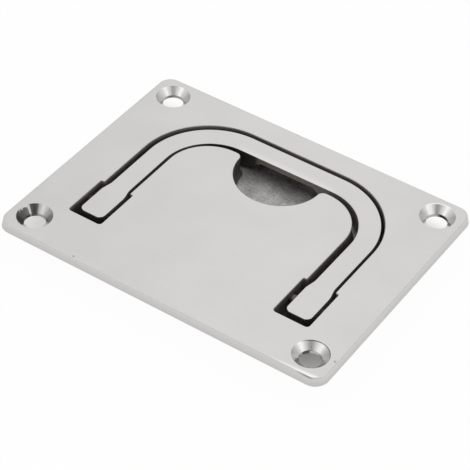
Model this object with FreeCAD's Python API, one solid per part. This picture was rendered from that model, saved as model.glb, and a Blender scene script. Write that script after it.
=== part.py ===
import FreeCAD, Part
import math
import os

# Recessed hatch pull: a cast stainless steel plate with a U-shaped pocket, and a bail handle that
# folds down flush into it and lifts on two pins. All sizes are in millimetres.
# X runs along the grip and the hinge line, +Y points from the hinges to the grip, and +Z points
# out of the hatch. The origin is the centre of the screw pattern on the flange's back face.

# Flange plate
plate_length = 96.0
plate_width = 73.8
plate_thick = 2.6
plate_corner_r = 4.0
side_draft = 0.6
face_edge_r = 0.4
back_edge_bevel = 0.3

# Countersunk screw holes, one near each corner
screw_inset = 7.1
screw_hole_r = 2.8
screw_head_r = 4.65
screw_cone_angle = 90.0

# Bail handle, seen from the face. Each leg stands leg_spread outside the middle of its channel
leg_spacing = 61.4
leg_spread = 0.1
leg_width = 5.6
grip_width = 6.0
grip_back_y = 28.3
bend_outer_r = 19.6
bend_inner_r = 13.9
knuckle_width = 7.0
knuckle_reach = 3.2
tail_reach = 6.45
tail_corner_r = 1.6
flare_length = 3.0
flare_r = 6.0

# Bail handle, from the side
handle_thick = 5.1
handle_face_r = 0.2
tail_nose_r = 0.8
tail_nose_run = 0.6
handle_back_bevel = 0.5
grip_thick = 2.1
relief_length = 16.0
relief_slope = 4.2
relief_r = 1.5

# Hinge pins
pin_r = 1.5
pin_y = -14.2
pin_end_inset = 0.3
pin_end_bevel = 0.3
pin_neck_width = 2.5

# Pocket and finger cup in the plate
pocket_wall = 2.0
pocket_floor_bevel = 0.8
pocket_back_bevel = 0.8
pocket_rim_bevel = 0.15
step_reach = 5.1
window_corner_r = 0.9
step_corner_r = 0.4
cup_inset = 0.95
cup_lip_r = 1.8
cup_end_flat = 0.75

# Clearances between the handle, its pins and the plate
handle_drop = 0.4
floor_clearance = 0.3
leg_clearance = 1.25
grip_back_clearance = 0.85
grip_front_clearance = 1.75
bend_outer_clearance = 0.9
bend_inner_clearance = 1.8
knuckle_clearance = 1.5
tail_clearance = 2.25
stop_clearance = 0.15
bore_clearance = 0.08
seat_clearance = 0.01
handle_side_shift = 0.25

# Heights, from the flange's back face
face_z = plate_thick
handle_top = face_z - handle_drop
handle_bottom = handle_top - handle_thick
floor_z = handle_bottom - floor_clearance
body_bottom = floor_z - pocket_wall
pin_z = handle_top - handle_thick / 2

# Places along Y, and half-distances along X
leg_x = leg_spacing / 2
grip_front_y = grip_back_y - grip_width
tail_y = pin_y - tail_reach
pocket_back_y = grip_back_y + grip_back_clearance
island_y = grip_front_y - grip_front_clearance
channel_half = leg_width / 2 + leg_clearance
window_half = knuckle_width / 2 + knuckle_clearance
window_front_y = tail_y - tail_clearance
step_y = pin_y + step_reach
stop_y = pin_y + handle_thick / 2 + stop_clearance
cup_y = island_y - cup_inset

# Pocket bends, and the finger cup that fills the straight edge between them
pocket_outer_r = bend_outer_r + bend_outer_clearance
pocket_inner_r = bend_inner_r - bend_inner_clearance
cup_half = leg_x - channel_half - pocket_inner_r
cup_r = cup_half - cup_end_flat - cup_lip_r

# Cutting tools run this far past the faces that they open
overrun = 1.0

# Edges this close to a height or a place count as lying in it
same_place = 0.001


def rounded_outline(corners):
    """Edges of a closed outline through (x, y, radius) corners, with a tangent arc at each corner."""
    arcs = []
    for i, (x, y, radius) in enumerate(corners):
        corner = FreeCAD.Vector(x, y, 0)
        before = FreeCAD.Vector(corners[i - 1][0], corners[i - 1][1], 0)
        after = FreeCAD.Vector(corners[(i + 1) % len(corners)][0], corners[(i + 1) % len(corners)][1], 0)
        back = (before - corner).normalize()
        ahead = (after - corner).normalize()
        half_angle = back.getAngle(ahead) / 2
        reach = radius / math.tan(half_angle)
        inward = (back + ahead).normalize()
        middle = corner + inward * (radius / math.sin(half_angle) - radius)
        arcs.append((corner + back * reach, middle, corner + ahead * reach))
    edges = []
    for i, (start, middle, end) in enumerate(arcs):
        edges.append(Part.LineSegment(arcs[i - 1][2], start).toShape())
        edges.append(Part.Arc(start, middle, end).toShape())
    return edges


def prism(edges, bottom, top):
    """Solid of a flat outline between two heights."""
    face = Part.Face(Part.Wire(edges))
    face.translate(FreeCAD.Vector(0, 0, bottom))
    return face.extrude(FreeCAD.Vector(0, 0, top - bottom))


def rectangle(x_low, x_high, y_low, y_high, radius):
    """Outline of a rectangle with equal corners."""
    return rounded_outline([
        (x_low, y_low, radius),
        (x_high, y_low, radius),
        (x_high, y_high, radius),
        (x_low, y_high, radius),
    ])


def rod_along_x(x_low, x_high, y, z, radius):
    """Round rod parallel to the hinge line."""
    start = FreeCAD.Vector(x_low, y, z)
    return Part.makeCylinder(radius, x_high - x_low, start, FreeCAD.Vector(1, 0, 0))


def level_edges(shape, height):
    """Edges that lie flat at one height."""
    return [
        edge for edge in shape.Edges
        if abs(edge.BoundBox.ZMin - height) < same_place and abs(edge.BoundBox.ZMax - height) < same_place
    ]


def cross_edges(edges):
    """Those of the edges that lie square to the hinge line, each at one X."""
    return [edge for edge in edges if edge.BoundBox.XLength < same_place]


def cup_edge(edge_y, round_r, x_end):
    """Island edge from -x_end to x_end, with the half-round of the finger cup and its two lips."""
    lip_y = edge_y - cup_lip_r
    lip_x = math.sqrt((round_r + cup_lip_r)**2 - (lip_y - cup_y)**2)
    touch = round_r / (round_r + cup_lip_r)
    turn = math.radians(45)
    end = FreeCAD.Vector(x_end, edge_y, 0)
    lip_end = FreeCAD.Vector(lip_x, edge_y, 0)
    lip_middle = FreeCAD.Vector(lip_x - cup_lip_r * math.sin(turn), lip_y + cup_lip_r * math.cos(turn), 0)
    lip_start = FreeCAD.Vector(touch * lip_x, cup_y + touch * (lip_y - cup_y), 0)
    cup_middle = FreeCAD.Vector(0, cup_y - round_r, 0)

    def mirrored(point):
        return FreeCAD.Vector(-point.x, point.y, 0)

    return [
        Part.LineSegment(end, lip_end).toShape(),
        Part.Arc(lip_end, lip_middle, lip_start).toShape(),
        Part.Arc(lip_start, cup_middle, mirrored(lip_start)).toShape(),
        Part.Arc(mirrored(lip_start), mirrored(lip_middle), mirrored(lip_end)).toShape(),
        Part.LineSegment(mirrored(lip_end), mirrored(end)).toShape(),
    ]


def pocket_outline(half_width, end_y, end_r, grow):
    """U of one leg half-width down to end_y, with its outer bends and finger cup moved outward by grow."""
    outer_x = leg_x + half_width
    inner_x = leg_x - half_width
    back_y = pocket_back_y + grow
    front_y = island_y - grow
    outer_r = pocket_outer_r + grow
    inner_r = inner_x - cup_half - grow
    island_edge, *sides = rounded_outline([
        (-inner_x, front_y, inner_r),
        (-inner_x, end_y, end_r),
        (-outer_x, end_y, end_r),
        (-outer_x, back_y, outer_r),
        (outer_x, back_y, outer_r),
        (outer_x, end_y, end_r),
        (inner_x, end_y, end_r),
        (inner_x, front_y, inner_r),
    ])
    return cup_edge(front_y, cup_r + grow, island_edge.BoundBox.XMax) + sides


def window_outline(side, half_width, back_y):
    """Outline of one hinge window up to step_y, then of a neck of another half-width up to back_y."""
    middle = side * leg_x
    return rounded_outline([
        (middle - window_half, window_front_y, window_corner_r),
        (middle + window_half, window_front_y, window_corner_r),
        (middle + window_half, step_y, step_corner_r),
        (middle + half_width, step_y, step_corner_r),
        (middle + half_width, back_y, step_corner_r),
        (middle - half_width, back_y, step_corner_r),
        (middle - half_width, step_y, step_corner_r),
        (middle - window_half, step_y, step_corner_r),
    ])


def flange():
    """Flat plate whose sides lean in towards the face, with a rounded face edge and a bevelled back edge."""

    def outline(inset, height):
        half_length = plate_length / 2 - inset
        half_width = plate_width / 2 - inset
        edges = rectangle(-half_length, half_length, -half_width, half_width, plate_corner_r - inset)
        wire = Part.Wire(edges)
        wire.translate(FreeCAD.Vector(0, 0, height))
        return wire

    plate = Part.makeLoft([outline(0, 0), outline(side_draft, face_z)], True, True)
    plate = plate.makeFillet(face_edge_r, level_edges(plate, face_z))
    return plate.makeChamfer(back_edge_bevel, level_edges(plate, 0))


def pocket_shell():
    """Outside of the pocket behind the flange, before it is hollowed."""
    end_y = window_front_y - pocket_wall
    end_r = window_corner_r + pocket_wall
    outline = pocket_outline(window_half + pocket_wall, end_y, end_r, pocket_wall)
    shell = prism(outline, body_bottom, face_z / 2)
    return shell.makeChamfer(pocket_back_bevel, level_edges(shell, body_bottom))


def pocket_cutter():
    """Hollow of the pocket, whose legs end inside the hinge windows."""
    end_r = window_corner_r + pocket_floor_bevel
    outline = pocket_outline(channel_half, pin_y, end_r, 0)
    cutter = prism(outline, floor_z, face_z + overrun)
    return cutter.makeChamfer(pocket_floor_bevel, level_edges(cutter, floor_z))


def window_cutter(side):
    """Hinge window: as deep as the pocket at its step, and open at the back under the tail."""
    middle = side * leg_x
    top = face_z + overrun
    upper = prism(window_outline(side, channel_half, step_y + leg_width / 2), floor_z, top)
    opening = rectangle(
        middle - window_half, middle + window_half, window_front_y, stop_y, window_corner_r
    )
    return upper.fuse(prism(opening, body_bottom - overrun, top))


def pin_seat(side):
    """Keyhole across a window's walls: the pin is pressed up through the narrow neck."""
    length = 2 * (window_half + pocket_wall)
    low_x = side * leg_x - length / 2
    seat = rod_along_x(low_x, low_x + length, pin_y, pin_z, pin_r + seat_clearance)
    neck = Part.makeBox(
        length, pin_neck_width, pin_z - body_bottom + overrun,
        FreeCAD.Vector(low_x, pin_y - pin_neck_width / 2, body_bottom - overrun)
    )
    return seat.fuse(neck)


def screw_cutter(x, y):
    """Countersunk hole for one screw."""
    cone_depth = (screw_head_r - screw_hole_r) / math.tan(math.radians(screw_cone_angle / 2))
    flare = overrun * math.tan(math.radians(screw_cone_angle / 2))
    cone = Part.makeCone(
        screw_hole_r, screw_head_r + flare, cone_depth + overrun, FreeCAD.Vector(x, y, face_z - cone_depth)
    )
    hole = Part.makeCylinder(screw_hole_r, plate_thick, FreeCAD.Vector(x, y, -overrun))
    return cone.fuse(hole)


def face_plate():
    """Flange, pocket, finger cup and hinge lugs, cast as one piece."""
    plate = flange().fuse(pocket_shell()).removeSplitter()
    hollow = pocket_cutter()
    for side in (-1, 1):
        hollow = hollow.fuse(window_cutter(side))
    plate = plate.cut(hollow)
    screw_x = plate_length / 2 - screw_inset
    screw_y = plate_width / 2 - screw_inset
    rim = [
        edge for edge in level_edges(plate, face_z)
        if abs(edge.CenterOfMass.x) < leg_x + window_half + overrun
        and window_front_y - overrun < edge.CenterOfMass.y < pocket_back_y + overrun
    ]
    plate = plate.makeChamfer(pocket_rim_bevel, rim)
    for side in (-1, 1):
        plate = plate.cut(pin_seat(side))
        for end in (-1, 1):
            plate = plate.cut(screw_cutter(side * screw_x, end * screw_y))
    return plate


def handle_outline():
    """U-shaped bail outline with a flared knuckle at the end of each leg."""
    flare_start = pin_y + knuckle_reach
    flare_end = flare_start + flare_length
    outer_x = leg_x + leg_spread + leg_width / 2
    inner_x = leg_x + leg_spread - leg_width / 2
    flare = (knuckle_width - leg_width) / 2

    def leg_side(x_knuckle, x_leg):
        return [
            (x_knuckle, tail_y, tail_corner_r),
            (x_knuckle, flare_start, flare_r),
            (x_leg, flare_end, flare_r),
        ]

    outer = leg_side(outer_x + flare, outer_x) + [(outer_x, grip_back_y, bend_outer_r)]
    inner = leg_side(inner_x - flare, inner_x) + [(inner_x, grip_front_y, bend_inner_r)]
    mirrored_outer = [(-x, y, r) for x, y, r in reversed(outer)]
    mirrored_inner = [(-x, y, r) for x, y, r in inner]
    return rounded_outline(outer + mirrored_outer + mirrored_inner + list(reversed(inner)))


def grip_relief():
    """Hollow under the middle of the grip, where the fingers hook in."""
    top = handle_top - grip_thick
    bottom = handle_bottom - overrun
    half_top = relief_length / 2
    slope = relief_slope / (handle_thick - grip_thick)
    half_bottom = half_top + relief_slope
    edge_y = grip_front_y - overrun
    profile = Part.makePolygon([
        FreeCAD.Vector(-half_top, edge_y, top),
        FreeCAD.Vector(half_top, edge_y, top),
        FreeCAD.Vector(half_bottom + overrun * slope, edge_y, bottom),
        FreeCAD.Vector(-half_bottom - overrun * slope, edge_y, bottom),
        FreeCAD.Vector(-half_top, edge_y, top),
    ])
    relief = Part.Face(profile).extrude(FreeCAD.Vector(0, grip_width + 2 * overrun, 0))
    return relief.makeFillet(relief_r, cross_edges(level_edges(relief, top)))


def tail_nose(reach):
    """What rounding the face edge of both tails takes away, out to reach on either side."""
    nose_y = tail_y + tail_nose_run
    nose_z = handle_top - tail_nose_r
    corner = Part.makeBox(
        2 * reach, tail_nose_run, tail_nose_r + overrun,
        FreeCAD.Vector(-reach, tail_y, nose_z)
    )
    return corner.cut(rod_along_x(-reach, reach, nose_y, nose_z, tail_nose_r))


def lift_handle():
    """Cast bail: flat legs, a grip thinned underneath and knuckles bored for the pins."""
    reach = leg_x + knuckle_width
    bail = prism(handle_outline(), handle_bottom, handle_top).cut(grip_relief()).cut(tail_nose(reach))
    brinks = [
        edge for edge in cross_edges(level_edges(bail, handle_bottom))
        if edge.CenterOfMass.y > grip_front_y
    ]
    bail = bail.makeFillet(relief_r, brinks)
    face_edges = [
        edge for edge in level_edges(bail, handle_top)
        if edge.BoundBox.YLength > same_place or edge.CenterOfMass.y > step_y
    ]
    bail = bail.makeFillet(handle_face_r, face_edges)
    bail = bail.makeChamfer(handle_back_bevel, level_edges(bail, handle_bottom))
    bail = bail.cut(rod_along_x(-reach, reach, pin_y, pin_z, pin_r + bore_clearance))
    bail.translate(FreeCAD.Vector(handle_side_shift, 0, 0))
    return bail


def hinge_pin(side):
    """Plain pin with bevelled ends, seated in the walls on both sides of one window."""
    length = 2 * (window_half + pocket_wall - pin_end_inset)
    pin = rod_along_x(side * leg_x - length / 2, side * leg_x + length / 2, pin_y, pin_z, pin_r)
    return pin.makeChamfer(pin_end_bevel, cross_edges(pin.Edges))


os.makedirs("parts", exist_ok=True)
nodes = {
    "face_plate": face_plate(),
    "lift_handle": lift_handle(),
    "hinge_pin_left": hinge_pin(-1),
    "hinge_pin_right": hinge_pin(1),
}
for name, shape in nodes.items():
    shape.exportStep("parts/" + name + ".step")
    print(name, "solids", len(shape.Solids), "valid", shape.isValid(), "volume", round(shape.Volume, 1))
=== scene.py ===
import math

import bpy
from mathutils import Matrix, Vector


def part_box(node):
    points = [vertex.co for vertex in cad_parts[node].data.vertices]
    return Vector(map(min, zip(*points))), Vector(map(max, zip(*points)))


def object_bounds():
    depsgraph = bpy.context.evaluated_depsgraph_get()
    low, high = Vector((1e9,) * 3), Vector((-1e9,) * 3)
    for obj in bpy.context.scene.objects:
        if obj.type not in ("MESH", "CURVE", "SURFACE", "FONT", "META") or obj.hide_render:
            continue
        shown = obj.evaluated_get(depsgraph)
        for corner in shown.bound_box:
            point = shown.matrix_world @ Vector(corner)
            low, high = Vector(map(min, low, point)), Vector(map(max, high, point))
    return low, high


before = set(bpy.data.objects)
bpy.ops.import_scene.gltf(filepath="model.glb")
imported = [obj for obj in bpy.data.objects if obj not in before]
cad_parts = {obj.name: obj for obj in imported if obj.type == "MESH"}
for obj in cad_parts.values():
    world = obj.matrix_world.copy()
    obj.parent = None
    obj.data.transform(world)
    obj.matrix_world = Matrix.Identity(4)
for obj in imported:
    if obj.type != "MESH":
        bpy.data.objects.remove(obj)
cad_low, cad_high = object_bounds()
MM = 0.001


# Face plate: a single stainless steel casting that holds the flange, the U-shaped pocket and the
# finger cup. The face is buffed, the rim linished and the screw seats turned. The back and the
# pocket's floor are blasted, and its walls keep the skin that the mould gave them.
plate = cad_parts["face_plate"]
plate_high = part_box("face_plate")[1]
screw_centre_x = 40.9 * MM
screw_centre_y = 29.8 * MM


def linear(code):
    """Linear colour of an sRGB hex code."""
    channels = [int(code[start:start + 2], 16) / 255 for start in (1, 3, 5)]
    return [c / 12.92 if c <= 0.04045 else ((c + 0.055) / 1.055) ** 2.4 for c in channels] + [1.0]


def add_node(tree, kind, inputs, **settings):
    """Adds a node. An input goes by the name or number of its socket among those in use. It takes a
    value, a socket, or a node, and is then fed by that node's first output in use."""
    node = tree.nodes.new(kind)
    for name, value in settings.items():
        setattr(node, name, value)
    in_use = [socket for socket in node.inputs if socket.enabled]
    for key, value in inputs.items():
        socket = in_use[key] if isinstance(key, int) else next(s for s in in_use if s.name == key)
        if isinstance(value, bpy.types.Node):
            value = next(output for output in value.outputs if output.enabled)
        if isinstance(value, bpy.types.NodeSocket):
            tree.links.new(value, socket)
        else:
            socket.default_value = value
    return node


def new_material(name):
    """An empty node material, its tree, and each point's place in the part's own frame."""
    material = bpy.data.materials.new(name)
    material.use_nodes = True
    tree = material.node_tree
    tree.nodes.clear()
    return material, tree, add_node(tree, "ShaderNodeTexCoord", {}).outputs["Object"]


# Buffed 316 stainless: a bright, slightly soft mirror. The eye sees even light grey with faint
# clouds, where the wheel has left the surface a few hundredths of a millimetre out of flat. The
# wheel's own lines are too fine to show, so they are drawn as wide as they need to be.
cloud_size = 14.0 * MM
ripple_size = 5.0 * MM
ripple_height = 0.02 * MM
wheel_line_length = 16.7 * MM
wheel_line_width = 0.714 * MM
buffed, tree, place = new_material("buffed_316_stainless")
clouds = add_node(
    tree, "ShaderNodeTexNoise",
    {"Vector": place, "Scale": 1 / cloud_size, "Detail": 2.0},
)
ripple = add_node(
    tree, "ShaderNodeTexNoise",
    {"Vector": place, "Scale": 1 / ripple_size, "Detail": 1.0},
)
stretched = add_node(
    tree, "ShaderNodeMapping",
    {"Vector": place, "Scale": (1 / wheel_line_length, 1 / wheel_line_width, 1 / wheel_line_length)},
)
lines = add_node(
    tree, "ShaderNodeTexNoise",
    {"Vector": stretched, "Scale": 1.0, "Detail": 3.0, "Distortion": 0.6},
)
uneven = add_node(tree, "ShaderNodeMix", {"Factor": 0.25, "A": clouds, "B": lines})
tone = add_node(
    tree, "ShaderNodeMix",
    {"Factor": uneven, "A": linear("#cdccca"), "B": linear("#dbdad8")},
    data_type="RGBA",
)
softness = add_node(tree, "ShaderNodeMapRange", {"Value": clouds, "To Min": 0.10, "To Max": 0.20})

# A painted highlight brightens the face along its front edge, where that edge nears the right corner.
towards_corner = (0.09, -1.0, 0.0)
corner_highlight_from = 38.8 * MM
corner_highlight_full = 39.7 * MM
to_corner = add_node(
    tree, "ShaderNodeVectorMath",
    {0: place, 1: towards_corner},
    operation="DOT_PRODUCT",
)
painted_corner_highlight = add_node(
    tree, "ShaderNodeMapRange",
    {"Value": to_corner, "From Min": corner_highlight_from, "From Max": corner_highlight_full},
)

# A painted highlight brightens a thin arc round the back of the rear right screw seat.
rear_right_seat = (screw_centre_x, screw_centre_y, plate_high.z)
towards_seat_highlight = (-0.42, 0.91, 0.0)
seat_highlight_outer_r = 5.10 * MM
seat_highlight_inner_r = 4.85 * MM
seat_highlight_from = 3.3 * MM
seat_highlight_full = 4.0 * MM
from_seat = add_node(
    tree, "ShaderNodeVectorMath",
    {0: place, 1: rear_right_seat},
    operation="SUBTRACT",
)
seat_distance = add_node(tree, "ShaderNodeVectorMath", {0: from_seat}, operation="LENGTH")
near_seat = add_node(
    tree, "ShaderNodeMapRange",
    {"Value": seat_distance, "From Min": seat_highlight_outer_r, "From Max": seat_highlight_inner_r},
)
to_seat_highlight = add_node(
    tree, "ShaderNodeVectorMath",
    {0: from_seat, 1: towards_seat_highlight},
    operation="DOT_PRODUCT",
)
behind_seat = add_node(
    tree, "ShaderNodeMapRange",
    {"Value": to_seat_highlight, "From Min": seat_highlight_from, "From Max": seat_highlight_full},
)
painted_seat_highlight = add_node(tree, "ShaderNodeMath", {0: near_seat, 1: behind_seat}, operation="MULTIPLY")

# A painted highlight brightens the front edge of the handle's grip. It starts past the plate's own face,
# which has the same material.
grip_highlight_half_length = 16.0 * MM
grip_highlight_full_half_length = 13.0 * MM
grip_highlight_back = 24.4 * MM
grip_highlight_front = 22.7 * MM
plate_ends = 21.0 * MM
grip_starts = 22.0 * MM
spot = add_node(tree, "ShaderNodeSeparateXYZ", {"Vector": place}).outputs
off_middle = add_node(tree, "ShaderNodeMath", {0: spot["X"]}, operation="ABSOLUTE")
along_grip = add_node(
    tree, "ShaderNodeMapRange",
    {"Value": off_middle, "From Min": grip_highlight_half_length, "From Max": grip_highlight_full_half_length},
)
across_grip = add_node(
    tree, "ShaderNodeMapRange",
    {"Value": spot["Y"], "From Min": grip_highlight_back, "From Max": grip_highlight_front, "To Max": 0.26},
)
past_plate = add_node(
    tree, "ShaderNodeMapRange",
    {"Value": spot["Y"], "From Min": plate_ends, "From Max": grip_starts},
)
grip_front = add_node(tree, "ShaderNodeMath", {0: across_grip, 1: past_plate}, operation="MULTIPLY")
painted_grip_highlight = add_node(tree, "ShaderNodeMath", {0: along_grip, 1: grip_front}, operation="MULTIPLY")
bright_plate = add_node(tree, "ShaderNodeMath", {0: painted_seat_highlight, 1: painted_corner_highlight}, operation="MAXIMUM")
bright = add_node(tree, "ShaderNodeMath", {0: bright_plate, 1: painted_grip_highlight}, operation="MAXIMUM")
highlighted_tone = add_node(
    tree, "ShaderNodeMix",
    {"Factor": bright, "A": tone, "B": linear("#f8f8f7")},
    data_type="RGBA",
)

# Two casting pits show as dark specks near the front and right edges.
front_pit = (-24.0 * MM, -35.9 * MM, plate_high.z)
right_pit = (46.8 * MM, -28.6 * MM, plate_high.z)
pit_rim_r = 0.45 * MM
pit_floor_r = 0.15 * MM
from_front_pit = add_node(tree, "ShaderNodeVectorMath", {0: place, 1: front_pit}, operation="DISTANCE")
from_right_pit = add_node(tree, "ShaderNodeVectorMath", {0: place, 1: right_pit}, operation="DISTANCE")
from_pit = add_node(tree, "ShaderNodeMath", {0: from_front_pit, 1: from_right_pit}, operation="MINIMUM")
pitted = add_node(
    tree, "ShaderNodeMapRange",
    {"Value": from_pit, "From Min": pit_rim_r, "From Max": pit_floor_r},
)
face_tone = add_node(
    tree, "ShaderNodeMix",
    {"Factor": pitted, "A": highlighted_tone, "B": linear("#a5a4a2")},
    data_type="RGBA",
)
relief = add_node(
    tree, "ShaderNodeBump",
    {"Height": ripple, "Strength": 0.3, "Distance": ripple_height},
)
steel = add_node(
    tree, "ShaderNodeBsdfPrincipled",
    {"Base Color": face_tone, "Metallic": 1.0, "Roughness": softness, "Normal": relief},
)
add_node(tree, "ShaderNodeOutputMaterial", {"Surface": steel})

# Linished 316 stainless: the outer rim, run along a fine belt. The eye sees a duller grey band
# under the bright face, with faint lines along the edge, drawn wider than the belt's grit.
belt_line_length = 16.7 * MM
belt_line_width = 0.4 * MM
low_shade_height = 0.2 * MM
top_light_height = 2.3 * MM
linished, tree, place = new_material("linished_316_stainless")
stretched = add_node(
    tree, "ShaderNodeMapping",
    {"Vector": place, "Scale": (1 / belt_line_length, 1 / belt_line_length, 1 / belt_line_width)},
)
lines = add_node(tree, "ShaderNodeTexNoise", {"Vector": stretched, "Scale": 1.0, "Detail": 3.0})
softness = add_node(tree, "ShaderNodeMapRange", {"Value": lines, "To Min": 0.42, "To Max": 0.60})
spot = add_node(tree, "ShaderNodeSeparateXYZ", {"Vector": place}).outputs
# The rim is painted lighter towards its top, as painted light, and darker lower down, as painted shade.
painted_top_light = add_node(
    tree, "ShaderNodeMapRange",
    {"Value": spot["Z"], "From Min": low_shade_height, "From Max": top_light_height},
)
tone = add_node(
    tree, "ShaderNodeMix",
    {"Factor": painted_top_light, "A": linear("#cac9c7"), "B": linear("#d8d7d5")},
    data_type="RGBA",
)

# A thin dark line is painted under the painted highlight of the front edge, as a painted dark reflection
# along the edge's crest.
edge_line_from_y = -36.0 * MM
edge_line_full_y = -36.2 * MM
edge_line_from_z = 2.15 * MM
edge_line_full_z = 2.35 * MM
edge_line_from_x = 40.5 * MM
edge_line_full_x = 43.5 * MM
at_front = add_node(
    tree, "ShaderNodeMapRange",
    {"Value": spot["Y"], "From Min": edge_line_from_y, "From Max": edge_line_full_y},
)
at_edge = add_node(
    tree, "ShaderNodeMapRange",
    {"Value": spot["Z"], "From Min": edge_line_from_z, "From Max": edge_line_full_z},
)
at_corner = add_node(
    tree, "ShaderNodeMapRange",
    {"Value": spot["X"], "From Min": edge_line_from_x, "From Max": edge_line_full_x},
)
front_edge = add_node(tree, "ShaderNodeMath", {0: at_front, 1: at_edge}, operation="MULTIPLY")
painted_edge_line = add_node(tree, "ShaderNodeMath", {0: front_edge, 1: at_corner}, operation="MULTIPLY")
edge_tone = add_node(
    tree, "ShaderNodeMix",
    {"Factor": painted_edge_line, "A": tone, "B": linear("#a3a19f")},
    data_type="RGBA",
)
steel = add_node(
    tree, "ShaderNodeBsdfPrincipled",
    {"Base Color": edge_tone, "Metallic": 1.0, "Roughness": softness},
)
add_node(tree, "ShaderNodeOutputMaterial", {"Surface": steel})

# Cast 316 stainless skin: the inside walls of the pocket, never polished. The eye sees a matte
# grey that goes brown and almost black in the narrow gaps. Its sandy grain is drawn coarser than
# the mould's, so that it shows.
grain_size = 0.45 * MM
skin_relief = 0.05 * MM
brown_stain_size = 6.0 * MM
cast_skin, tree, place = new_material("cast_316_stainless_skin")
grain = add_node(tree, "ShaderNodeTexNoise", {"Vector": place, "Scale": 1 / grain_size, "Detail": 3.0})
stain = add_node(
    tree, "ShaderNodeTexNoise",
    {"Vector": place, "Scale": 1 / brown_stain_size, "Detail": 2.0},
)
tone = add_node(
    tree, "ShaderNodeMix",
    {"Factor": stain, "A": linear("#7d7771"), "B": linear("#98928b")},
    data_type="RGBA",
)
relief = add_node(tree, "ShaderNodeBump", {"Height": grain, "Strength": 0.5, "Distance": skin_relief})

# The walls are painted paler just below the face, as painted light falling into the gaps, and most of all
# at the far left.
wall_light_from_z = 0.9 * MM
left_from_x = -20.0 * MM
left_full_x = -28.0 * MM
spot = add_node(tree, "ShaderNodeSeparateXYZ", {"Vector": place}).outputs
painted_top_light = add_node(
    tree, "ShaderNodeMapRange",
    {"Value": spot["Z"], "From Min": wall_light_from_z, "From Max": plate_high.z},
    interpolation_type="SMOOTHSTEP",
)
far_left = add_node(
    tree, "ShaderNodeMapRange",
    {"Value": spot["X"], "From Min": left_from_x, "From Max": left_full_x, "To Min": 0.25},
)
painted_wall_light = add_node(tree, "ShaderNodeMath", {0: painted_top_light, 1: far_left}, operation="MULTIPLY")
wall_light_tone = add_node(
    tree, "ShaderNodeMix",
    {"Factor": painted_wall_light, "A": tone, "B": linear("#ccc8c3")},
    data_type="RGBA",
)

# The left end of the finger cup is painted darker, as painted shade in the hollow.
cup_left_end = (-9.0 * MM, 15.0 * MM, 0.0)
cup_shade_full_r = 5.5 * MM
cup_shade_ends_r = 7.5 * MM
from_cup_end = add_node(
    tree, "ShaderNodeVectorMath",
    {0: place, 1: cup_left_end},
    operation="DISTANCE",
)
painted_cup_shade = add_node(
    tree, "ShaderNodeMapRange",
    {
        "Value": from_cup_end,
        "From Min": cup_shade_full_r,
        "From Max": cup_shade_ends_r,
        "To Min": 0.55,
        "To Max": 0.0,
    },
)
wall_tone = add_node(
    tree, "ShaderNodeMix",
    {"Factor": painted_cup_shade, "A": wall_light_tone, "B": linear("#3b3a38")},
    data_type="RGBA",
)
steel = add_node(
    tree, "ShaderNodeBsdfPrincipled",
    {"Base Color": wall_tone, "Metallic": 1.0, "Roughness": 0.6, "Normal": relief},
)
add_node(tree, "ShaderNodeOutputMaterial", {"Surface": steel})

# Blasted 316 stainless: the floor of the pocket and the cup, and the whole back. The eye sees an
# even satin grey with a grain and a few darker patches, all drawn coarse enough to show.
patch_size = 5.0 * MM
speckle_size = 0.7 * MM
blast_relief = 0.09 * MM
blasted, tree, place = new_material("blasted_316_stainless")
grain = add_node(tree, "ShaderNodeTexNoise", {"Vector": place, "Scale": 1 / grain_size, "Detail": 3.0})
stain = add_node(tree, "ShaderNodeTexNoise", {"Vector": place, "Scale": 1 / patch_size, "Detail": 3.0})
speckle = add_node(
    tree, "ShaderNodeTexNoise",
    {"Vector": place, "Scale": 1 / speckle_size, "Detail": 4.0, "Roughness": 0.7},
)
mottle = add_node(tree, "ShaderNodeMix", {"Factor": 0.55, "A": stain, "B": speckle})
patches = add_node(tree, "ShaderNodeMapRange", {"Value": mottle, "From Min": 0.36, "From Max": 0.64})
tone = add_node(
    tree, "ShaderNodeMix",
    {"Factor": patches, "A": linear("#989795"), "B": linear("#dddcda")},
    data_type="RGBA",
)
relief = add_node(tree, "ShaderNodeBump", {"Height": grain, "Strength": 1.0, "Distance": blast_relief})
steel = add_node(
    tree, "ShaderNodeBsdfPrincipled",
    {"Base Color": tone, "Metallic": 1.0, "Roughness": 0.55, "Normal": relief},
)
add_node(tree, "ShaderNodeOutputMaterial", {"Surface": steel})

# Turned 316 stainless: the screw seats, cut by a countersink bit. The eye sees bright and dark wedges
# that fan out from the hole, because the tool marks run round it and spread the reflections. The wedges
# are also painted into the colour, as painted reflections, and change with the place too, so that no two
# seats are alike.
wedges_per_radian = 5.0
wedge_phase = 5.0
wedge_change_x = 8.0 * MM
wedge_change_y = 6.67 * MM
turned, tree, place = new_material("turned_316_stainless")

# The place is folded, so that each seat has its own hole's middle at zero. Its height is left out.
moved = add_node(
    tree, "ShaderNodeVectorMath",
    {0: place, 1: (1, 1, 0), 2: (screw_centre_x, screw_centre_y, 0)},
    operation="MULTIPLY_ADD",
)
from_hole = add_node(
    tree, "ShaderNodeVectorMath",
    {
        0: moved,
        1: (screw_centre_x, screw_centre_y, 1),
        2: (-screw_centre_x, -screw_centre_y, -1),
    },
    operation="WRAP",
)
round_hole = add_node(
    tree, "ShaderNodeVectorMath",
    {0: from_hole, 1: (0, 0, 1)},
    operation="CROSS_PRODUCT",
)
off_hole = add_node(tree, "ShaderNodeSeparateXYZ", {"Vector": from_hole}).outputs
turn = add_node(tree, "ShaderNodeMath", {0: off_hole["Y"], 1: off_hole["X"]}, operation="ARCTAN2")
wedge = add_node(
    tree, "ShaderNodeMath",
    {0: turn, 1: wedges_per_radian, 2: wedge_phase},
    operation="MULTIPLY_ADD",
)
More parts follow.
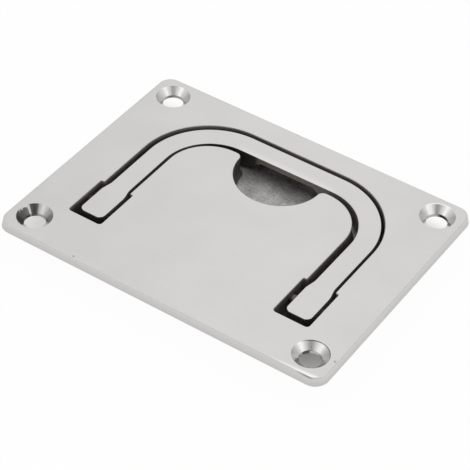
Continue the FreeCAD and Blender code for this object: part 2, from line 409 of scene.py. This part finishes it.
wedge_vector = add_node(tree, "ShaderNodeCombineXYZ", {"Z": wedge})
fan_place = add_node(
    tree, "ShaderNodeVectorMath",
    {0: place, 1: (1 / wedge_change_x, 1 / wedge_change_y, 0), 2: wedge_vector},
    operation="MULTIPLY_ADD",
)
fans = add_node(tree, "ShaderNodeTexNoise", {"Vector": fan_place, "Scale": 1.0, "Detail": 4.0})
tone = add_node(
    tree, "ShaderNodeMix",
    {"Factor": fans, "A": linear("#cac9c8"), "B": linear("#e0dfde")},
    data_type="RGBA",
)
softness = add_node(
    tree, "ShaderNodeMapRange",
    {"Value": fans, "From Min": 0.3, "From Max": 0.7, "To Min": 0.16, "To Max": 0.34},
)

# A mark is kept to one seat or hole by shares that are 1 on one side of the plate and 0 on the
# other, and to a part of the ring by an arc's share.
sides = add_node(tree, "ShaderNodeSeparateXYZ", {"Vector": place}).outputs
at_left = add_node(tree, "ShaderNodeMath", {0: sides["X"], 1: 0.0}, operation="LESS_THAN")
at_front = add_node(tree, "ShaderNodeMath", {0: sides["Y"], 1: 0.0}, operation="LESS_THAN")
front_left = add_node(tree, "ShaderNodeMath", {0: at_left, 1: at_front}, operation="MULTIPLY")
front_right = add_node(
    tree, "ShaderNodeMath",
    {0: at_front, 1: at_left},
    operation="SUBTRACT",
    use_clamp=True,
)
front_or_left = add_node(tree, "ShaderNodeMath", {0: at_front, 1: at_left}, operation="ADD")
hole_distance = add_node(tree, "ShaderNodeVectorMath", {0: from_hole}, operation="LENGTH")
outward = add_node(tree, "ShaderNodeVectorMath", {0: from_hole}, operation="NORMALIZE")


def arc_share(tree, outward, middle, ends, whole, outside=0.0, inside=1.0):
    """Share that goes from outside to inside on an arc round a hole. The arc's middle is at one
    angle, and it ends and is whole at two others to either side, all in degrees."""
    to_middle = (math.cos(math.radians(middle)), math.sin(math.radians(middle)), 0)
    nearness = add_node(
        tree, "ShaderNodeVectorMath",
        {0: outward, 1: to_middle},
        operation="DOT_PRODUCT",
    )
    return add_node(
        tree, "ShaderNodeMapRange",
        {
            "Value": nearness,
            "From Min": math.cos(math.radians(ends)),
            "From Max": math.cos(math.radians(whole)),
            "To Min": outside,
            "To Max": inside,
        },
    )


# The seat at the front left is darker over a wide arc at its left, but for one narrow lighter line that
# runs down to the hole and a ragged rim that stays lighter.
ragged_depth = 2.0 * MM
light_rim_from_r = 5.15 * MM
light_rim_full_r = 5.35 * MM
dark_arc_share = arc_share(tree, outward, middle=177, ends=64.5, whole=56.6, outside=0.34, inside=0.96)
light_line_share = arc_share(tree, outward, middle=150, ends=5.73, whole=3.62, outside=1.0, inside=0.25)
light_rim_arc = arc_share(tree, outward, middle=172, ends=21.6, whole=14.1)
dark_arc = add_node(tree, "ShaderNodeMath", {0: dark_arc_share, 1: light_line_share}, operation="MULTIPLY")
ragged_distance = add_node(
    tree, "ShaderNodeMath",
    {0: fans, 1: ragged_depth, 2: hole_distance},
    operation="MULTIPLY_ADD",
)
light_rim = add_node(
    tree, "ShaderNodeMapRange",
    {"Value": ragged_distance, "From Min": light_rim_from_r, "From Max": light_rim_full_r, "To Max": 0.7},
)
lighter_rim = add_node(tree, "ShaderNodeMath", {0: light_rim, 1: light_rim_arc}, operation="MULTIPLY")
left_on = add_node(tree, "ShaderNodeMath", {0: 1.0, 1: lighter_rim}, operation="SUBTRACT")
dark_seat = add_node(tree, "ShaderNodeMath", {0: dark_arc, 1: front_left}, operation="MULTIPLY")
dark_share = add_node(tree, "ShaderNodeMath", {0: dark_seat, 1: left_on}, operation="MULTIPLY")
dark_arc_tone = add_node(
    tree, "ShaderNodeMix",
    {"Factor": fans, "A": linear("#2b2a28"), "B": linear("#6f6c69")},
    data_type="RGBA",
)
seat_tone = add_node(
    tree, "ShaderNodeMix",
    {"Factor": dark_share, "A": tone, "B": dark_arc_tone},
    data_type="RGBA",
)

# Below the seats the drill has left a duller wall, which is painted much darker, as painted shade, along
# a part of both holes on the right.
seat_ends_r = 2.95 * MM
wall_starts_r = 2.85 * MM
in_hole = add_node(
    tree, "ShaderNodeMapRange",
    {"Value": hole_distance, "From Min": seat_ends_r, "From Max": wall_starts_r},
)
front_hole_shade = arc_share(tree, outward, middle=145, ends=25.8, whole=14.1)
front_wall = add_node(tree, "ShaderNodeMath", {0: front_hole_shade, 1: front_right}, operation="MULTIPLY")
rear_hole_shade = arc_share(tree, outward, middle=70, ends=45.6, whole=28.4)
rear_wall = add_node(
    tree, "ShaderNodeMath",
    {0: rear_hole_shade, 1: front_or_left},
    operation="SUBTRACT",
    use_clamp=True,
)
painted_hole_shade = add_node(tree, "ShaderNodeMath", {0: front_wall, 1: rear_wall}, operation="MAXIMUM")
dull_and_shaded = add_node(tree, "ShaderNodeMapRange", {"Value": painted_hole_shade, "To Min": 0.36, "To Max": 0.95})
dull_and_shaded_wall = add_node(tree, "ShaderNodeMath", {0: in_hole, 1: dull_and_shaded}, operation="MULTIPLY")
hole_tone = add_node(
    tree, "ShaderNodeMix",
    {"Factor": dull_and_shaded_wall, "A": seat_tone, "B": linear("#403e3b")},
    data_type="RGBA",
)

# The seat at the front right ends in a fine dark line at the back.
lip_from_r = 4.42 * MM
lip_full_r = 4.55 * MM
at_lip = add_node(
    tree, "ShaderNodeMapRange",
    {"Value": hole_distance, "From Min": lip_from_r, "From Max": lip_full_r},
)
lip_arc = arc_share(tree, outward, middle=75, ends=78.5, whole=53.1)
lip_line = add_node(tree, "ShaderNodeMath", {0: at_lip, 1: lip_arc}, operation="MULTIPLY")
dark_lip = add_node(tree, "ShaderNodeMath", {0: lip_line, 1: front_right}, operation="MULTIPLY")
turned_tone = add_node(
    tree, "ShaderNodeMix",
    {"Factor": dark_lip, "A": hole_tone, "B": linear("#6a6866")},
    data_type="RGBA",
)
steel = add_node(
    tree, "ShaderNodeBsdfPrincipled",
    {
        "Base Color": turned_tone,
        "Metallic": 1.0,
        "Roughness": softness,
        "Anisotropic": 0.6,
        "Tangent": round_hole,
    },
)
add_node(tree, "ShaderNodeOutputMaterial", {"Surface": steel})

# Each face of the plate takes the finish of the place where it lies.
screw_head_r = 4.65 * MM
plate_corner_r = 4.0 * MM
polish_depth = 0.30 * MM
rim_reach = 1.0 * MM
flat_enough = 0.97
clear_of_face = 0.05 * MM


def off_edge(x, y):
    """Distance of a point of the flange from its rounded outline."""
    past_x = abs(x) - (plate_high.x - plate_corner_r)
    past_y = abs(y) - (plate_high.y - plate_corner_r)
    in_corner = min(past_x, past_y) > 0
    return plate_corner_r - (math.hypot(past_x, past_y) if in_corner else max(past_x, past_y))


def under_flange(face):
    """Whether the flange hangs over a face, as it does over the outside of the pocket."""
    start = face.center + face.normal * clear_of_face
    return plate.ray_cast(start, Vector((0, 0, 1)))[0]


finishes = [buffed, linished, cast_skin, blasted, turned]
plate.data.materials.clear()
for finish in finishes:
    plate.data.materials.append(finish)
for face in plate.data.polygons:
    x, y, z = face.center
    off_screw = math.hypot(abs(x) - screw_centre_x, abs(y) - screw_centre_y)
    at_rim = off_edge(x, y) < rim_reach
    if off_screw < screw_head_r and z > 0:
        finish = turned
    elif z > plate_high.z - polish_depth and face.normal.z > flat_enough:
        finish = buffed
    elif z > 0 and at_rim:
        finish = linished
    elif abs(face.normal.z) > flat_enough or (z < 0 and under_flange(face)):
        finish = blasted
    else:
        finish = cast_skin
    face.material_index = finishes.index(finish)


# Hinge pins: two drawn stainless steel rods, pressed up into keyholes in the window walls. The left one
# is painted darker, as painted shade, and the right one lighter, as a painted glint; the right one is
# also less rough.
die_line_length = 12.5 * MM
die_line_width = 0.333 * MM
softness_spread = 0.12
for name, colour, dullest in (("left", "#4c4844", 0.50), ("right", "#66625e", 0.36)):
    # Drawn 316 stainless: a dark rod. The eye sees fine lines along it, where the die has run, here
    # wider than they are.
    drawn, tree, place = new_material("drawn_316_stainless_" + name)
    stretched = add_node(
        tree, "ShaderNodeMapping",
        {"Vector": place, "Scale": (1 / die_line_length, 1 / die_line_width, 1 / die_line_width)},
    )
    lines = add_node(tree, "ShaderNodeTexNoise", {"Vector": stretched, "Scale": 1.0})
    softness = add_node(
        tree, "ShaderNodeMapRange",
        {"Value": lines, "To Min": dullest - softness_spread, "To Max": dullest},
    )
    steel = add_node(
        tree, "ShaderNodeBsdfPrincipled",
        {"Base Color": linear(colour), "Metallic": 1.0, "Roughness": softness},
    )
    add_node(tree, "ShaderNodeOutputMaterial", {"Surface": steel})
    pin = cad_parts["hinge_pin_" + name]
    pin.data.materials.clear()
    pin.data.materials.append(drawn)


# Lift handle: a cast stainless steel bail with its top buffed together with the plate's face. It
# turns on the two pins, and the rest of it keeps the skin of the mould.
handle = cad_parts["lift_handle"]
handle_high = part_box("lift_handle")[1]

# Cast 316 stainless skin of the handle, browner than the pocket's. The eye sees a dull brown-grey under
# the grip's front edge, and the ends of the tails, deep in the hinge windows, are painted almost black as
# painted shade.
tail_shade_from_y = -17.0 * MM
tail_shade_full_y = -20.0 * MM
handle_skin, tree, place = new_material("cast_316_stainless_handle")
grain = add_node(tree, "ShaderNodeTexNoise", {"Vector": place, "Scale": 1 / grain_size, "Detail": 3.0})
tone = add_node(
    tree, "ShaderNodeMix",
    {"Factor": grain, "A": linear("#8a847e"), "B": linear("#a9a39d")},
    data_type="RGBA",
)
spot = add_node(tree, "ShaderNodeSeparateXYZ", {"Vector": place}).outputs
painted_tail_shade = add_node(
    tree, "ShaderNodeMapRange",
    {"Value": spot["Y"], "From Min": tail_shade_from_y, "From Max": tail_shade_full_y, "To Max": 0.9},
)
tail_shaded_tone = add_node(
    tree, "ShaderNodeMix",
    {"Factor": painted_tail_shade, "A": tone, "B": linear("#55514c")},
    data_type="RGBA",
)

# A painted shadow darkens the left bend, on the side that looks to the finger cup.
towards_cup = (0.45, -0.89, 0.0)
shadow_from_x = -8.2 * MM
shadow_full_x = -9.4 * MM
shadow_from_y = 16.0 * MM
shadow_full_y = 20.0 * MM
left_bend = add_node(
    tree, "ShaderNodeMapRange",
    {"Value": spot["X"], "From Min": shadow_from_x, "From Max": shadow_full_x, "To Max": 0.85},
)
behind_cup = add_node(
    tree, "ShaderNodeMapRange",
    {"Value": spot["Y"], "From Min": shadow_from_y, "From Max": shadow_full_y},
)
skin_normal = add_node(tree, "ShaderNodeTexCoord", {}).outputs["Normal"]
to_cup = add_node(
    tree, "ShaderNodeVectorMath",
    {0: skin_normal, 1: towards_cup},
    operation="DOT_PRODUCT",
)
inner_side = add_node(tree, "ShaderNodeMapRange", {"Value": to_cup, "From Min": 0.3, "From Max": 0.6})
shadow_reach = add_node(tree, "ShaderNodeMath", {0: left_bend, 1: behind_cup}, operation="MULTIPLY")
painted_bend_shadow = add_node(tree, "ShaderNodeMath", {0: shadow_reach, 1: inner_side}, operation="MULTIPLY")
skin_tone = add_node(
    tree, "ShaderNodeMix",
    {"Factor": painted_bend_shadow, "A": tail_shaded_tone, "B": linear("#45413d")},
    data_type="RGBA",
)
relief = add_node(tree, "ShaderNodeBump", {"Height": grain, "Strength": 0.5, "Distance": skin_relief})
steel = add_node(
    tree, "ShaderNodeBsdfPrincipled",
    {"Base Color": skin_tone, "Metallic": 1.0, "Roughness": 0.6, "Normal": relief},
)
add_node(tree, "ShaderNodeOutputMaterial", {"Surface": steel})

# The wheel reaches the top and the start of the rounding beside it.
buffed_depth = 0.45 * MM
upward_enough = 0.8
handle_finishes = [buffed, handle_skin]
handle.data.materials.clear()
for finish in handle_finishes:
    handle.data.materials.append(finish)
for face in handle.data.polygons:
    on_top = face.center.z > handle_high.z - buffed_depth and face.normal.z > upward_enough
    face.material_index = handle_finishes.index(buffed if on_top else handle_skin)


# Floor: a plain white table top under the part. What the lens sees of it is partly glow, so that
# the part's own shadow stays faint. The glow fades out under the part, where the table lies in
# shade, as the screw holes show.
floor_size = 4.0
rim_shade_from_x = -52.0 * MM
rim_shade_full_x = -48.0 * MM
pocket_shade_from_x = -41.0 * MM
pocket_shade_full_x = -36.0 * MM
bpy.ops.mesh.primitive_plane_add(size=floor_size, location=(0, 0, cad_low.z))
floor = bpy.context.object
floor.name = "floor"
paper, tree, place = new_material("white_paper")
path = add_node(tree, "ShaderNodeLightPath", {}).outputs
spot = add_node(tree, "ShaderNodeSeparateXYZ", {"Vector": place}).outputs

# The shade comes in two steps at the left, and in one at the right, front and back, which the loop
# gives in millimetres.
under_rim = add_node(
    tree, "ShaderNodeMapRange",
    {"Value": spot["X"], "From Min": rim_shade_from_x, "From Max": rim_shade_full_x, "To Max": 0.55},
)
under_pocket = add_node(
    tree, "ShaderNodeMapRange",
    {
        "Value": spot["X"],
        "From Min": pocket_shade_from_x,
        "From Max": pocket_shade_full_x,
        "To Max": 0.45,
    },
)
covered = add_node(tree, "ShaderNodeMath", {0: under_rim, 1: under_pocket}, operation="ADD")
for axis, outside, inside in (("X", 44.5, 40.5), ("Y", -32.0, -28.0), ("Y", 38.0, 28.0)):
    past_side = add_node(
        tree, "ShaderNodeMapRange",
        {"Value": spot[axis], "From Min": outside * MM, "From Max": inside * MM},
        interpolation_type="SMOOTHSTEP",
    )
    covered = add_node(tree, "ShaderNodeMath", {0: covered, 1: past_side}, operation="MULTIPLY")
open_share = add_node(tree, "ShaderNodeMapRange", {"Value": covered, "To Min": 0.96, "To Max": 0.0})
direct = add_node(
    tree, "ShaderNodeMath",
    {0: path["Is Camera Ray"], 1: path["Is Transmission Ray"]},
    operation="ADD",
)
seen = add_node(
    tree, "ShaderNodeMath",
    {0: direct, 1: path["Is Glossy Ray"]},
    operation="ADD",
    use_clamp=True,
)
glow_share = add_node(tree, "ShaderNodeMath", {0: seen, 1: open_share}, operation="MULTIPLY")
lit = add_node(tree, "ShaderNodeBsdfDiffuse", {"Color": linear("#efefee")})
glow = add_node(tree, "ShaderNodeEmission", {"Color": linear("#ffffff"), "Strength": 1.0})
white = add_node(tree, "ShaderNodeMixShader", {0: glow_share, 1: lit, 2: glow})
add_node(tree, "ShaderNodeOutputMaterial", {"Surface": white})
floor.data.materials.append(paper)


# Light tent: white cloth that is bright overhead and greyer near the table, with an opening for the
# lens. The steel mirrors it, and the dark opening shows in the turned screw seats.
lens_direction = (0.3995, -0.6304, 0.6660)
opening_outer = math.radians(23.1)
opening_inner = math.radians(11.5)
white_height = 0.6
strip_left = -0.52
strip_middle = -0.38
strip_right = -0.28
world = bpy.data.worlds.new("light_tent")
bpy.context.scene.world = world
world.use_nodes = True
tree = world.node_tree
tree.nodes.clear()
path = add_node(tree, "ShaderNodeLightPath", {}).outputs
direction = add_node(tree, "ShaderNodeTexCoord", {}).outputs["Generated"]
way = add_node(tree, "ShaderNodeSeparateXYZ", {"Vector": direction}).outputs
cloth = add_node(
    tree, "ShaderNodeMapRange",
    {"Value": way["Z"], "From Min": 0.0, "From Max": white_height, "To Min": 0.45, "To Max": 1.0},
    interpolation_type="SMOOTHSTEP",
)
towards_lens = add_node(
    tree, "ShaderNodeVectorMath",
    {0: direction, 1: lens_direction},
    operation="DOT_PRODUCT",
)
opening = add_node(
    tree, "ShaderNodeMapRange",
    {
        "Value": towards_lens,
        "From Min": math.cos(opening_outer),
        "From Max": math.cos(opening_inner),
        "To Min": 1.0,
        "To Max": 0.38,
    },
    interpolation_type="SMOOTHSTEP",
)

# The cloth is whitest along one upright strip at the left, and falls off on both sides of it.
left_fall = add_node(
    tree, "ShaderNodeMapRange",
    {"Value": way["X"], "From Min": strip_left, "From Max": strip_middle, "To Min": 0.90, "To Max": 1.0},
    interpolation_type="SMOOTHSTEP",
)
right_fall = add_node(
    tree, "ShaderNodeMapRange",
    {"Value": way["X"], "From Min": strip_middle, "From Max": strip_right, "To Min": 1.0, "To Max": 0.97},
    interpolation_type="SMOOTHSTEP",
)
strip = add_node(tree, "ShaderNodeMath", {0: left_fall, 1: right_fall}, operation="MULTIPLY")
cut_cloth = add_node(tree, "ShaderNodeMath", {0: cloth, 1: opening}, operation="MULTIPLY")
tent = add_node(tree, "ShaderNodeMath", {0: cut_cloth, 1: strip}, operation="MULTIPLY")

# The steel mirrors this pattern. The table gets even light instead, and the lens sees plain white.
even = add_node(
    tree, "ShaderNodeMapRange",
    {"Value": path["Is Camera Ray"], "To Min": 0.88, "To Max": 1.0},
)
level = add_node(tree, "ShaderNodeMix", {"Factor": path["Is Glossy Ray"], "A": even, "B": tent})
light = add_node(tree, "ShaderNodeBackground", {"Color": level, "Strength": 1.0})
add_node(tree, "ShaderNodeOutputWorld", {"Surface": light})


# Lamps: two round soft boxes, one on each side of the lens and lower than it. They make the bright
# flanks of the screw seats, and are dim beside the tent.
lamp_distance = 0.6
lamp_radius = 0.15
lamp_area = math.pi * lamp_radius ** 2
lamp_radiance = 0.55
lamp_elevation = math.radians(38)
lens_azimuth = math.atan2(lens_direction[1], lens_direction[0])
for name, turn in (("lamp_left", -66), ("lamp_right", 66)):
    lamp_data = bpy.data.lights.new(name, "AREA")
    lamp_data.shape = "DISK"
    lamp_data.size = 2 * lamp_radius
    lamp_data.energy = lamp_radiance * math.pi * lamp_area
    lamp = bpy.data.objects.new(name, lamp_data)
    bpy.context.scene.collection.objects.link(lamp)
    azimuth = lens_azimuth + math.radians(turn)
    to_lamp = Vector((
        math.cos(azimuth) * math.cos(lamp_elevation),
        math.sin(azimuth) * math.cos(lamp_elevation),
        math.sin(lamp_elevation),
    ))
    lamp.location = to_lamp * lamp_distance
    lamp.rotation_euler = to_lamp.to_track_quat("Z", "Y").to_euler()


# Camera: a long lens, well above the part and to its right. It stands where the plate's edges and
# screw holes line up with those in the photograph.
camera_data = bpy.data.cameras.new("camera")
camera_data.lens = 146.94
camera_data.sensor_width = 36.0
camera = bpy.data.objects.new("camera", camera_data)
camera.location = (192.3 * MM, -303.5 * MM, 323.2 * MM)
camera.rotation_euler = [math.radians(angle) for angle in (47.656, -1.878, 34.118)]
bpy.context.scene.collection.objects.link(camera)
bpy.context.scene.camera = camera
bpy.context.scene.view_settings.view_transform = "Standard"
